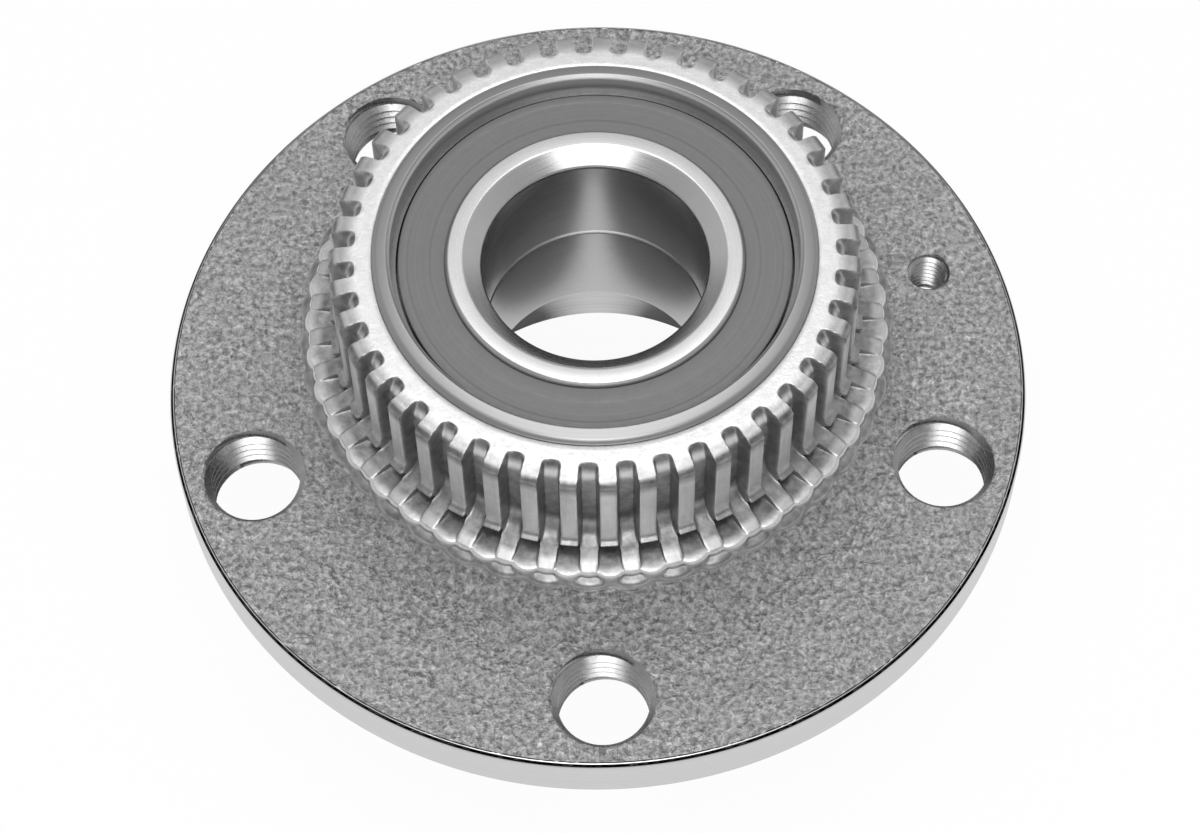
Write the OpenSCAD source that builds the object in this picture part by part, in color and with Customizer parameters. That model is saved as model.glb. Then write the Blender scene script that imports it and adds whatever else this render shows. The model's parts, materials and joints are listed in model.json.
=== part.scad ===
// Rear wheel hub unit. The forged hub's barrel is the outer ring of a double-row angular-contact
// ball bearing, and it carries the wheel bolts, the brake disc and a pressed pulse ring for the
// wheel-speed sensor. The two inner rings stay still on the stub axle.
// The origin is the centre of the wheel-mounting face, and +Z runs along the axis to the vehicle side.

/* [Flange] */
// Distance from the bolt circle out to the flange's rim
flange_margin = 10; // [8:0.5:15]
// Thickness of the flange
flange_t = 9.5; // [8:0.5:12]
// Chamfer round the rim on the wheel side
rim_chamfer = 2; // [0.5:0.5:3]
// Small bevel between the turned rim and the forged face
rim_break = 0.6; // [0.2:0.1:1]

/* [Wheel bolts and disc screw] */
// Number of wheel bolt holes
bolt_count = 5; // [4:1:6]
// Diameter of the circle that the bolt holes lie on
bolt_pcd = 100; // [98:0.5:102]
// Diameter of a bolt hole across the thread's roots
bolt_d = 14; // [12:0.5:15]
// Angle of the first bolt hole
bolt_angle = -90; // [-180:1:180]
// Chamfer at the mouths of the bolt holes on the wheel side
bolt_chamfer = 0.8; // [0.3:0.1:1.2]
// Diameter of the hole for the screw that holds the brake disc
screw_d = 6; // [5:0.5:8]

/* [Spigot] */
// Step in radius from the wheel's pilot out to the one that centres the brake disc
register_step = 3.95; // [2:0.05:5]
// Height of that step
register_h = 6; // [4:0.5:8]
// Wall of the pilot that centres the wheel, outside the dust cap's seat
pilot_wall = 1.95; // [1.6:0.05:3]
// Distance from the wheel-mounting face to the end of the spigot
spigot_h = 19; // [14:0.5:24]
// Chamfer at the spigot's edges
spigot_chamfer = 0.5; // [0.2:0.1:0.8]
// Step in radius from the raceway bore out to the dust cap's seat
cap_step = 0.6; // [0.4:0.05:1]
// Depth of that seat from the end of the spigot
cap_seat_depth = 12; // [8:0.5:14]
// Width of the turned relief at the foot of the spigot
relief_w = 1.6; // [1:0.1:2.5]
// Depth of that relief
relief_depth = 0.5; // [0.2:0.1:1]

/* [Barrel] */
// Wall of the barrel between the raceway bore and the tone ring's seat
barrel_wall = 5.5; // [4.8:0.1:7]
// Step in radius from the tone ring's seat out to the barrel below it
barrel_step = 1.5; // [1:0.1:2.5]
// Radius of the fillet from the flange up to the barrel
foot_fillet = 10; // [8:0.5:12]
// Wall of the rim at the barrel's end, outside the inboard seal
rim_wall = 2.4; // [1.8:0.1:3]
// Height of that rim above the inner ring's face
rim_rise = 2.2; // [1:0.1:3]
// Chamfer at the edges of the barrel's end
rim_edge = 0.5; // [0.2:0.1:0.8]

/* [Bearing] */
// Diameter of the bore that fits the stub axle
bore_d = 30; // [26:0.5:32]
// Distance from the wheel-mounting face to the plane between the two ball rows
bearing_z = 22.4; // [20:0.1:25]
// Wall of an inner ring between its bore and the bottom of its raceway
ring_wall = 2.15; // [1.8:0.05:3]
// Height of an inner ring's shoulder above the bottom of its raceway
shoulder_h = 2.71; // [2.4:0.01:3]
// Size of an inner ring's large chamfer along the radius
ring_chamfer_r = 2.45; // [1.5:0.05:2.8]
// Size of the same chamfer along the axis
ring_chamfer_z = 1.9; // [1:0.1:2.5]
// Diameter of a ball
ball_d = 8.73; // [8:0.01:9.6]
// Number of balls in a row
ball_count = 13; // [10:1:13]
// Play between a ball and its raceways
ball_play = 0.085; // [0.06:0.005:0.12]
// Distance from the middle plane to a row of balls
row_offset = 6.6; // [6:0.1:7.4]
// Height of the barrel's rib above the bore beside the raceways
rib_h = 2.4; // [2:0.1:3]
// Play between a ball and its cage pocket
pocket_play = 0.135; // [0.1:0.005:0.2]
// Play between a cage and the rings inside and outside it
cage_play = 0.7; // [0.4:0.1:0.9]
// Thickness of a cage's ring behind its pockets
cage_web = 1.2; // [1:0.1:1.6]
// Reach of a cage's fingers from the row of balls towards the middle
cage_front = 1.6; // [1:0.1:2]
// Thickness of the clip that joins the inner rings
clip_t = 0.6; // [0.4:0.1:0.8]
// Distance from the middle plane to the clip's ends
clip_reach = 2.6; // [2.2:0.1:3]
// Angle that the clip leaves open
clip_gap_angle = 15; // [5:1:40]

/* [Seals] */
// Thickness of the seals' sheet steel
seal_sheet = 0.6; // [0.4:0.05:0.8]
// Gap between a cage and the seal case behind it
seal_cage_gap = 1.3; // [0.8:0.1:2]
// Distance from the back of a seal case to the flinger's disc
seal_h = 3; // [2.6:0.1:4]
// Distance that a flinger's face lies below its inner ring's face
flinger_recess = 0.8; // [0.5:0.1:1.2]
// Step in radius from the raceway bore out to the inboard seal's seat
seal_step = 1; // [0.8:0.1:1.4]
// Gap between a flinger's edge and the seal case round it
flinger_gap = 0.3; // [0.2:0.05:0.5]
// Gap between a resting seal lip and the surface it wipes
lip_gap = 0.06; // [0.04:0.01:0.1]
// Radial width of the lip's rubber inside the case
lip_w = 2; // [1.5:0.1:2.2]

/* [Tone ring] */
// Number of teeth
tooth_count = 43; // [40:1:46]
// Angle of one tooth's middle
tooth_angle = -88.2; // [-180:0.1:180]
// Thickness of the pressed sheet
sheet_t = 1.5; // [1:0.1:1.8]
// Distance that the ring's top lies below the barrel's end
ring_drop = 1.1; // [0.8:0.1:1.5]
// Height of the tooth faces over the ring's seat
tooth_rise = 3.7; // [3.3:0.1:4.2]
// Radius of the shoulder above a tooth face
tooth_shoulder = 1.5; // [1:0.1:1.8]
// Height of a tooth, from the ring's top to the tooth's foot
tooth_h = 15; // [14:0.5:16]
// Step in radius from the ring's seat out to where the valleys begin at the top
arch_step = 0.2; // [0.1:0.05:0.8]
// Width of a valley where it begins
arch_w = 2.1; // [1.8:0.1:2.4]
// Width of a valley between two tooth faces
valley_w = 2.55; // [2.2:0.05:2.8]
// Radius of the corners where a valley begins
arch_corner = 0.7; // [0.4:0.1:0.9]
// Reach of the flared lip beyond the ring's seat
lip_reach = 9.1; // [8:0.1:10.5]
// Height of the pockets between the teeth's feet and the lip
pocket_h = 1.8; // [1.2:0.1:2.6]
// Height of the lip at its edge
lip_h = 2.6; // [2:0.1:3]
// Height of the lip's upper scalloped step
lip_step_h = 1; // [0.6:0.1:1.4]
// Distance that the lip's upper step lies inside its lower one
lip_step_in = 0.9; // [0.5:0.1:1.2]
// Radius of one scallop of the lip
scallop_r = 5; // [4.2:0.1:6]
// Flare of a tooth's foot beyond its face
foot_flare = 0.9; // [0.5:0.1:1.2]
// Radius of the curve that carries a valley out to the lip
web_curve = 3.4; // [2.5:0.1:3.8]
// Height above the lip at which that curve runs out into the web's slope
web_rise = 0.8; // [0.4:0.1:1.2]

/* [Hidden] */
$fn = 96;

bore_r = bore_d / 2;
ball_r = ball_d / 2;
ball_pitch_angle = 360 / ball_count;
raceway_r = ball_r + ball_play;
raceway_bottom_r = bore_r + ring_wall;
ball_pitch_r = raceway_bottom_r + raceway_r;
shoulder_r = raceway_bottom_r + shoulder_h;
// How far a raceway dips below the cylinders beside it, so that the balls snap in
outer_snap = 0.05;
inner_snap = 0.35;
race_bore_r = ball_pitch_r + raceway_r - outer_snap;
inner_land_r = raceway_bottom_r + inner_snap;
rib_r = race_bore_r - rib_h;
joint_chamfer = 0.4;
clip_hook = 0.5;

cage_end_z = row_offset + ball_r + pocket_play + cage_web;
case_z = cage_end_z + seal_cage_gap;
flinger_z = case_z + seal_h;
inner_ring_w = flinger_z + seal_sheet + flinger_recess;
case_top = flinger_z + seal_sheet / 3;
case_disc_r = shoulder_r + seal_sheet + lip_w;
inboard_seal_r = race_bore_r + seal_step;

flange_r = bolt_pcd / 2 + flange_margin;
bolt_pitch = 360 / bolt_count;
screw_angle = bolt_angle + bolt_pitch * 1.5;
cap_seat_r = race_bore_r + cap_step;
pilot_r = cap_seat_r + pilot_wall;
register_r = pilot_r + register_step;
ring_seat_r = race_bore_r + barrel_wall;
barrel_r = ring_seat_r + barrel_step;
rim_r = inboard_seal_r + rim_wall;
barrel_end = bearing_z + inner_ring_w + rim_rise;

tone_top = barrel_end - ring_drop;
tooth_r = ring_seat_r + tooth_rise;
tooth_pitch = 360 / tooth_count;
wall_r = ring_seat_r + sheet_t;
arch_r = ring_seat_r + arch_step;
tooth_foot_z = tone_top - tooth_h;
lip_r = ring_seat_r + lip_reach;
lip_top_z = tooth_foot_z - pocket_h;
lip_round = 0.4;
web_end_r = lip_r - lip_step_in - 2 * lip_round;
// Thickness of the edge of a tooth's flared foot
flare_edge = 0.3;
// Drop of the valley floor from the ring's top to the plain wall
valley_slope_h = 2.4;
// Width and depth of the hollow that the press leaves behind each tooth
hollow_w = 1;
hollow_depth = 0.9;
// Overlap that makes one solid of shapes that meet
bite = 0.5;
// Height of the tools that cut the flange's holes, through the foot of the barrel's fillet too
hole_h = flange_t + foot_fillet + bite;

function numbered(stem, i) = str(stem, i < 10 ? "0" : "", i);
BALLS = [for (i = [1 : ball_count]) i];

// Places what is drawn for the inboard row, with the middle plane at zero
module inboard() {
    translate([0, 0, bearing_z]) children();
}

// The same, turned over for the outboard row
module outboard() {
    translate([0, 0, bearing_z]) mirror([0, 0, 1]) children();
}

// Inside corner of a profile, filled to a concave arc that starts at the origin's two axes
module inside_fillet(radius) {
    difference() {
        translate([-bite, -bite]) square(radius + bite);
        translate([radius, radius]) circle(radius);
    }
}

// Waste that leaves an outside corner of a profile round. The corner is at the origin.
module outside_round(radius) {
    difference() {
        translate([-radius, -radius]) square(radius + bite);
        translate([-radius, -radius]) circle(radius);
    }
}

// Half section of the hub, before the raceways
module hub_outline() {
    row_in = bearing_z + row_offset;
    row_out = bearing_z - row_offset;
    seal_shoulder = bearing_z + case_z;
    polygon([
        [race_bore_r, cap_seat_depth - spigot_h],
        [cap_seat_r, cap_seat_depth - spigot_h],
        [cap_seat_r, -spigot_h + spigot_chamfer],
        [cap_seat_r + spigot_chamfer, -spigot_h],
        [pilot_r - 2 * spigot_chamfer, -spigot_h],
        [pilot_r, -spigot_h + 2 * spigot_chamfer],
        [pilot_r, -register_h],
        [register_r - spigot_chamfer, -register_h],
        [register_r, -register_h + spigot_chamfer],
        [register_r, relief_depth],
        [register_r + relief_w, relief_depth],
        [register_r + relief_w, 0],
        [flange_r - rim_chamfer, 0],
        [flange_r, rim_chamfer],
        [flange_r, flange_t - rim_break],
        [flange_r - rim_break, flange_t],
        [barrel_r, flange_t],
        [barrel_r, lip_top_z - 2 * barrel_step],
        [ring_seat_r, lip_top_z - barrel_step],
        [ring_seat_r, tone_top - sheet_t],
        [rim_r, tone_top - sheet_t],
        [rim_r, barrel_end - rim_edge],
        [rim_r - rim_edge, barrel_end],
        [inboard_seal_r + rim_edge, barrel_end],
        [inboard_seal_r, barrel_end - rim_edge],
        [inboard_seal_r, seal_shoulder],
        [race_bore_r, seal_shoulder],
        [race_bore_r, row_in],
        [rib_r, row_in],
        [rib_r, row_out],
        [race_bore_r, row_out],
    ]);
}

module hub_section() {
    difference() {
        union() {
            hub_outline();
            translate([barrel_r, flange_t]) inside_fillet(foot_fillet);
        }
        for (side = [-1, 1]) {
            translate([ball_pitch_r, bearing_z + side * row_offset]) circle(raceway_r);
        }
    }
}

module bolt_hole() {
    translate([0, 0, -bite]) cylinder(d = bolt_d, h = hole_h);
    translate([0, 0, -bite])
        cylinder(h = bolt_chamfer + bite, d1 = bolt_d + 2 * (bolt_chamfer + bite), d2 = bolt_d);
}

module hub() {
    color("darkgray") difference() {
        rotate_extrude() hub_section();
        for (i = [0 : bolt_count - 1]) {
            rotate(bolt_angle + i * bolt_pitch) translate([bolt_pcd / 2, 0, 0]) bolt_hole();
        }
        rotate(screw_angle) translate([bolt_pcd / 2, 0, -bite]) cylinder(d = screw_d, h = hole_h);
    }
}

// Waste between two teeth, seen along the axis, with round corners where the valley begins
module valley_slot() {
    outer = tooth_r + foot_flare + 2 * bite;
    polygon([
        [arch_r + arch_corner, -arch_w / 2],
        [outer, -valley_w / 2],
        [outer, valley_w / 2],
        [arch_r + arch_corner, arch_w / 2],
        [arch_r, arch_w / 2 - arch_corner],
        [arch_r, arch_corner - arch_w / 2],
    ]);
    for (side = [-1, 1]) {
        translate([arch_r + arch_corner, side * (arch_w / 2 - arch_corner)]) circle(arch_corner);
    }
}

module teeth_outline() {
    difference() {
        circle(tooth_r + foot_flare + bite);
        for (i = [0 : tooth_count - 1]) {
            rotate(tooth_angle + (i + 0.5) * tooth_pitch) valley_slot();
        }
    }
}

// Half section through a tooth: the ring's top, the round shoulder, the tooth face and its flared foot
module tooth_section() {
    inner = wall_r - bite;
    difference() {
        polygon([
            [rim_r + bite, tone_top],
            [rim_r + bite, tone_top - sheet_t / 2],
            [ring_seat_r, tone_top - sheet_t / 2],
            [inner, tone_top - valley_slope_h],
            [inner, tooth_foot_z],
            [tooth_r, tooth_foot_z],
            [tooth_r, tone_top],
        ]);
        translate([tooth_r, tone_top]) outside_round(tooth_shoulder);
    }
    translate([inner, tooth_foot_z - flare_edge]) square([tooth_r + foot_flare - inner, flare_edge]);
    difference() {
        translate([inner, tooth_foot_z]) square([tooth_r + foot_flare - inner, foot_flare]);
        translate([tooth_r + foot_flare, tooth_foot_z + foot_flare]) circle(foot_flare);
    }
}

// Half section through a valley: the ring's top, the slope to the plain wall, and the flared foot
module wall_section() {
    polygon([
        [rim_r, tone_top],
        [arch_r, tone_top],
        [wall_r, tone_top - valley_slope_h],
        [wall_r, lip_top_z],
        [lip_r - lip_step_in - lip_round, lip_top_z],
        [lip_r - lip_step_in, lip_top_z - lip_round],
        [lip_r - lip_step_in, lip_top_z - lip_step_h],
        [barrel_r, lip_top_z - sheet_t],
        [ring_seat_r, lip_top_z + sheet_t],
        [ring_seat_r, tone_top - sheet_t],
        [rim_r, tone_top - sheet_t],
    ]);
}

// Half section of the web that carries a valley out to the lip
module web_section() {
    slope_top = lip_top_z + web_rise;
    translate([wall_r, slope_top]) inside_fillet(web_curve);
    polygon([
        [wall_r - bite, lip_top_z - bite],
        [web_end_r, lip_top_z - bite],
        [web_end_r, lip_top_z],
        [wall_r + web_curve, slope_top],
        [wall_r - bite, slope_top],
    ]);
}

// Half section of the lip's lower step
module lip_section() {
    polygon([
        [barrel_r + 2 * sheet_t, lip_top_z - lip_step_h + lip_round],
        [lip_r - lip_round, lip_top_z - lip_step_h],
        [lip_r, lip_top_z - lip_step_h - lip_round],
        [lip_r, lip_top_z - lip_h],
        [lip_r - sheet_t, lip_top_z - lip_h],
        [lip_r - 2 * sheet_t, lip_top_z - lip_step_h - lip_round],
        [barrel_r + 2 * sheet_t, lip_top_z - sheet_t],
    ]);
}

// Outline of the lip seen along the axis, with a scallop on each tooth or each valley
module scallops(radius, shift) {
    circle(radius - scallop_r / 4);
    for (i = [0 : tooth_count - 1]) {
        rotate(tooth_angle + (i + shift) * tooth_pitch) translate([radius - scallop_r, 0]) circle(scallop_r);
    }
}

module teeth() {
    intersection() {
        rotate_extrude() tooth_section();
        translate([0, 0, tooth_foot_z - bite]) linear_extrude(tooth_h + 2 * bite) teeth_outline();
    }
}

module webs() {
    intersection() {
        rotate_extrude() web_section();
        translate([0, 0, lip_top_z - bite]) linear_extrude(web_rise + web_curve + 2 * bite) {
            for (i = [0 : tooth_count - 1]) {
                rotate(tooth_angle + (i + 0.5) * tooth_pitch) {
                    translate([ring_seat_r, -valley_w / 2]) square([lip_r - ring_seat_r, valley_w]);
                }
            }
        }
    }
}

module tooth_hollows() {
    for (i = [0 : tooth_count - 1]) {
        rotate(tooth_angle + i * tooth_pitch) translate([ring_seat_r - bite, -hollow_w / 2, tooth_foot_z - bite]) {
            cube([bite + sheet_t + hollow_depth, hollow_w, tooth_h + bite - sheet_t - tooth_shoulder]);
        }
    }
}

module tone_ring() {
    color("gainsboro") difference() {
        union() {
            intersection() {
                rotate_extrude() wall_section();
                translate([0, 0, lip_top_z - lip_h]) linear_extrude(tone_top - lip_top_z + lip_h + bite) {
                    scallops(lip_r - lip_step_in, 0);
                }
            }
            intersection() {
                rotate_extrude() lip_section();
                translate([0, 0, lip_top_z - lip_h - bite]) linear_extrude(lip_h + bite) scallops(lip_r, 0.5);
            }
            teeth();
            webs();
        }
        tooth_hollows();
    }
}

// Half section of an inner ring, with its raceway and the groove for the retaining clip
module inner_ring_section() {
    difference() {
        polygon([
            [bore_r + joint_chamfer, 0],
            [inner_land_r, 0],
            [inner_land_r, row_offset],
            [shoulder_r, row_offset],
            [shoulder_r, inner_ring_w - joint_chamfer],
            [shoulder_r - joint_chamfer, inner_ring_w],
            [bore_r + ring_chamfer_r, inner_ring_w],
            [bore_r, inner_ring_w - ring_chamfer_z],
            [bore_r, joint_chamfer],
        ]);
        translate([ball_pitch_r, row_offset]) circle(raceway_r);
        translate([inner_land_r - clip_hook, clip_reach - clip_t]) square([clip_hook + bite, clip_t]);
    }
}

module inner_ring() {
    rotate_extrude() inner_ring_section();
}

module inner_ring_inboard() {
    color("silver") inboard() inner_ring();
}

module inner_ring_outboard() {
    color("silver") outboard() inner_ring();
}

// Spring clip over the joint of the inner rings, hooked into a groove in each
module retaining_clip() {
    color("slategray") inboard() rotate(clip_gap_angle / 2) {
        rotate_extrude(angle = 360 - clip_gap_angle) {
            translate([inner_land_r, -clip_reach]) square([clip_t, 2 * clip_reach]);
            for (low = [-clip_reach, clip_reach - clip_t]) {
                translate([inner_land_r - clip_hook, low]) square([clip_hook + clip_t / 2, clip_t]);
            }
        }
    }
}

// Moulded cage, a ring on the seal's side of the balls with fingers between them
module cage(first_angle) {
    inner = shoulder_r + cage_play;
    outer = race_bore_r - cage_play;
    difference() {
        rotate_extrude() {
            translate([inner, row_offset - cage_front]) square([outer - inner, cage_front + cage_end_z - row_offset]);
        }
        for (i = [0 : ball_count - 1]) {
            rotate(first_angle + i * ball_pitch_angle) {
                translate([ball_pitch_r, 0, row_offset]) sphere(ball_r + pocket_play);
            }
        }
    }
}

module cage_inboard() {
    color("wheat") inboard() cage(0);
}

module cage_outboard() {
    color("wheat") outboard() cage(ball_pitch_angle / 2);
}

module ball(angle) {
    rotate(angle) translate([ball_pitch_r, 0, row_offset]) sphere(ball_r);
}

// Steel angle ring that is pressed into the hub and holds the lip
module seal_case(seat_r) {
    rotate_extrude() {
        translate([case_disc_r, case_z]) square([seat_r - case_disc_r, seal_sheet]);
        translate([seat_r - seal_sheet, case_z]) square([seal_sheet, case_top - case_z]);
    }
}

module seal_case_inboard() {
    color("dimgray") inboard() seal_case(inboard_seal_r);
}

module seal_case_outboard() {
    color("dimgray") outboard() seal_case(race_bore_r);
}

// Rubber moulded round the case's inner edge, with one lip on the flinger's sleeve and one on its disc
module seal_lip() {
    sleeve_r = shoulder_r + seal_sheet + lip_gap;
    disc_top = case_z + seal_sheet;
    tip_z = flinger_z - lip_gap;
    rotate_extrude() polygon([
        [case_disc_r, case_z],
        [case_disc_r - lip_w / 2, case_z],
        [sleeve_r, case_z + seal_sheet * 1.3],
        [sleeve_r, case_z + seal_sheet * 1.8],
        [case_disc_r - lip_w / 2, disc_top + seal_sheet / 2],
        [case_disc_r + lip_w / 4, disc_top + seal_sheet],
        [case_disc_r + lip_w, tip_z],
        [case_disc_r + lip_w + seal_sheet / 2, tip_z],
        [case_disc_r + lip_w * 0.85, disc_top + seal_sheet * 0.7],
        [case_disc_r + lip_w * 0.8, disc_top],
        [case_disc_r, disc_top],
    ]);
}

module seal_lip_inboard() {
    color("gray") inboard() seal_lip();
}

module seal_lip_outboard() {
    color("gray") outboard() seal_lip();
}

// Angle ring that is pressed on an inner ring and turns dirt away from the lips
module flinger(seat_r) {
    disc_r = seat_r - seal_sheet - flinger_gap;
    rotate_extrude() {
        translate([shoulder_r, flinger_z]) square([disc_r - shoulder_r, seal_sheet]);
        translate([shoulder_r, case_z]) square([seal_sheet, flinger_z + seal_sheet - case_z]);
    }
}

module flinger_inboard() {
    color("darkgray") inboard() flinger(inboard_seal_r);
}

module flinger_outboard() {
    color("darkgray") outboard() flinger(race_bore_r);
}

hub();
tone_ring();
inner_ring_inboard();
inner_ring_outboard();
retaining_clip();
cage_inboard();
cage_outboard();
seal_case_inboard();
seal_case_outboard();
seal_lip_inboard();
seal_lip_outboard();
flinger_inboard();
flinger_outboard();
for (i = BALLS) {
    union() {
        color("gainsboro") inboard() ball((i - 1) * ball_pitch_angle);
    }
    union() {
        color("gainsboro") outboard() ball((i - 0.5) * ball_pitch_angle);
    }
}
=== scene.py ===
"""Looks of the wheel hub. Sizes are in millimetres, in the CAD frame: the origin is the centre of the
wheel-mounting face and +Z runs along the axis to the vehicle side. Meshes are written in metres."""

import json
import math

import bpy
import numpy as np
from mathutils import Matrix, Vector, noise


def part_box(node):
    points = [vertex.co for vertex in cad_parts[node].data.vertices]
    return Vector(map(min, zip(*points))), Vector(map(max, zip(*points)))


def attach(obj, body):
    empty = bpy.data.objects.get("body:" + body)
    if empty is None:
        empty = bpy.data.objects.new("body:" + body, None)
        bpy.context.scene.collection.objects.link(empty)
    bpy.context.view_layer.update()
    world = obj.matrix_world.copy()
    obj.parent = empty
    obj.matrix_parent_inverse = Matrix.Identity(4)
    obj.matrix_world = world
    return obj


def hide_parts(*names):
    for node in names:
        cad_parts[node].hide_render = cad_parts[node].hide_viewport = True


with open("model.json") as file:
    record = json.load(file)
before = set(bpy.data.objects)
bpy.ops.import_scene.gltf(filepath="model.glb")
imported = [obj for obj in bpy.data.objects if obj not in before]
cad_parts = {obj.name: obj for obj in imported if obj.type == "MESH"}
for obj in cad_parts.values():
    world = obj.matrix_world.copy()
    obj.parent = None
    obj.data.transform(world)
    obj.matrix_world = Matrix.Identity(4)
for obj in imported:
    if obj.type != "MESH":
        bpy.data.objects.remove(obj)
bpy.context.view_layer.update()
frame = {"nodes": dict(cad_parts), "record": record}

MM = 0.001
mounts = {mount["name"]: mount for mount in frame["record"]["mounts"]}


def low_high(node):
    """Lowest and highest corner of a CAD node, in millimetres."""
    low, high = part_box(node)
    return low / MM, high / MM


def mount_size(name, key):
    return mounts[name]["dims"][key]


# Sizes read from the frame
hub_low, hub_high = low_high("hub")
ring_low, ring_high = low_high("tone_ring")
race_high = low_high("inner_ring_inboard")[1]
flinger_high = low_high("flinger_inboard")[1]
outer_flinger_high = low_high("flinger_outboard")[1]
FLANGE_R = hub_high.x
BARREL_END = hub_high.z
SPIGOT_END = hub_low.z
TONE_TOP = ring_high.z
LIP_END = ring_low.z
BORE_R = mount_size("spindle_bore", "r_mm")
BEARING_Z = mounts["spindle_bore"]["pos_m"][2] / MM
SHOULDER_R = race_high.x
RING_FACE = race_high.z
FLINGER_R = flinger_high.x
FLINGER_FACE = flinger_high.z
OUTER_FLINGER_R = outer_flinger_high.x
PILOT_R = mount_size("wheel_pilot", "r_mm")
REGISTER_R = mount_size("disc_register", "r_mm")
CAP_SEAT_R = mount_size("cap_seat", "r_mm")
BOLT_R = mount_size("wheel_bolts", "hole_r_mm")
BOLT_CIRCLE_R = mount_size("wheel_bolts", "pcd_mm") / 2
BOLT_COUNT = mount_size("wheel_bolts", "count")
SCREW_R = mount_size("disc_screw", "r_mm")

# Sizes that the frame's boxes don't give
FLANGE_T = 9.5
BOLT_ANGLE = -90
SCREW_ANGLE = 18
REGISTER_H = 6
CAP_SEAT_END = -7
RIM_CHAMFER = 2
RIM_BREAK = 0.6
BARREL_R = 33
RING_SEAT_R = 31.5
RIM_R = 29.4
RACE_BORE_R = 26
SEAL_BORE_R = 27
RIB_R = 23.6
ROW_OFFSET = 6.6
BALL_PITCH_R = 21.6
RACEWAY_R = 4.45
SEAL_SHOULDER_Z = 13.6
FOOT_FILLET = 10
SHEET = 1.5
TOOTH_COUNT = 43
TOOTH_ANGLE = -88.2
TOOTH_R = 35.2
TOOTH_SHOULDER = 1.5
ARCH_R = 31.7
VALLEY_R = 33
LIP_R = 40.6
LIP_TOP = 24.7
BOLT_PITCH = 1.5
SCREW_PITCH = 1
BOLT_CHAMFERS = (0.25, 0.8)
SCREW_CHAMFERS = (0.15, 0.4)
GRAIN_SIZE = 1.1
GRAIN_DEPTH = 0.2
WAVE_SIZE = 7
WAVE_DEPTH = 0.15


def arc(centre, radius, start, end, steps):
    """Points on an arc about centre, from one angle to another in degrees."""
    angles = np.radians(np.linspace(start, end, steps + 1))
    return [(centre[0] + radius * math.cos(a), centre[1] + radius * math.sin(a), 0) for a in angles]


def rounded(corners, steps=4):
    """Closed outline with each corner (r, z, rounding) that has a rounding turned into a curve."""
    outline = []
    for i, (r, z, rounding) in enumerate(corners):
        here = np.array((r, z), float)
        if rounding == 0:
            outline.append(here)
            continue
        sides = [np.array(corners[j % len(corners)][:2], float) - here for j in (i - 1, i + 1)]
        setback = min([rounding] + [0.48 * np.linalg.norm(side) for side in sides])
        start, end = [here + side / np.linalg.norm(side) * setback for side in sides]
        for t in np.linspace(0, 1, steps + 1):
            outline.append((1 - t) ** 2 * start + 2 * t * (1 - t) * here + t**2 * end)
    return np.array(outline)


def cut_up(outline, longest):
    """The same closed outline with extra points, so that no side is longer than longest."""
    points = []
    for i, start in enumerate(outline):
        side = outline[(i + 1) % len(outline)] - start
        count = max(1, math.ceil(np.linalg.norm(side) / longest))
        points += [start + side * k / count for k in range(count)]
    return np.array(points)


def sharpen(mesh, angle):
    for face in mesh.polygons:
        face.use_smooth = True
    mesh.set_sharp_from_angle(angle=math.radians(angle))


def grid_mesh(name, points, angle=35, wrap_columns=True):
    """Mesh through a grid of points in millimetres, points[row, column]. Its last row joins its first."""
    rows, columns = points.shape[:2]
    index = np.arange(rows * columns).reshape(rows, columns)
    down = np.roll(index, -1, axis=0)
    right = np.roll(index, -1, axis=1)
    across = np.roll(down, -1, axis=1)
    quads = np.stack([index, right, across, down], axis=-1)
    if not wrap_columns:
        quads = quads[:, :-1]
    mesh = bpy.data.meshes.new(name)
    mesh.from_pydata((points.reshape(-1, 3) * MM).tolist(), [], quads.reshape(-1, 4).tolist())
    mesh.validate()
    sharpen(mesh, angle)
    piece = bpy.data.objects.new(name, mesh)
    bpy.context.scene.collection.objects.link(piece)
    return piece


def revolve(name, outline, segments, centre=(0, 0)):
    """Solid of revolution about a line along +Z from a closed outline that runs anticlockwise in (r, z)."""
    turn = np.linspace(0, 2 * math.pi, segments, endpoint=False)
    r = outline[:, 0][:, None]
    z = outline[:, 1][:, None] + 0 * turn
    points = np.stack([centre[0] + r * np.cos(turn), centre[1] + r * np.sin(turn), z], axis=-1)
    return grid_mesh(name, points)


def stands_for(piece, body, slot, *nodes):
    """Puts a piece on its body, in place of the CAD nodes named."""
    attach(piece, body)
    if nodes:
        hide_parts(*nodes)


def float_attribute(mesh, name, values):
    mesh.attributes.new(name, "FLOAT", "POINT").data.foreach_set("value", np.asarray(values, np.float32))


def coordinates(mesh):
    """Positions of a mesh's points, in millimetres."""
    flat = np.zeros(len(mesh.vertices) * 3)
    mesh.vertices.foreach_get("co", flat)
    return flat.reshape(-1, 3) / MM


# Materials


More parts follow.
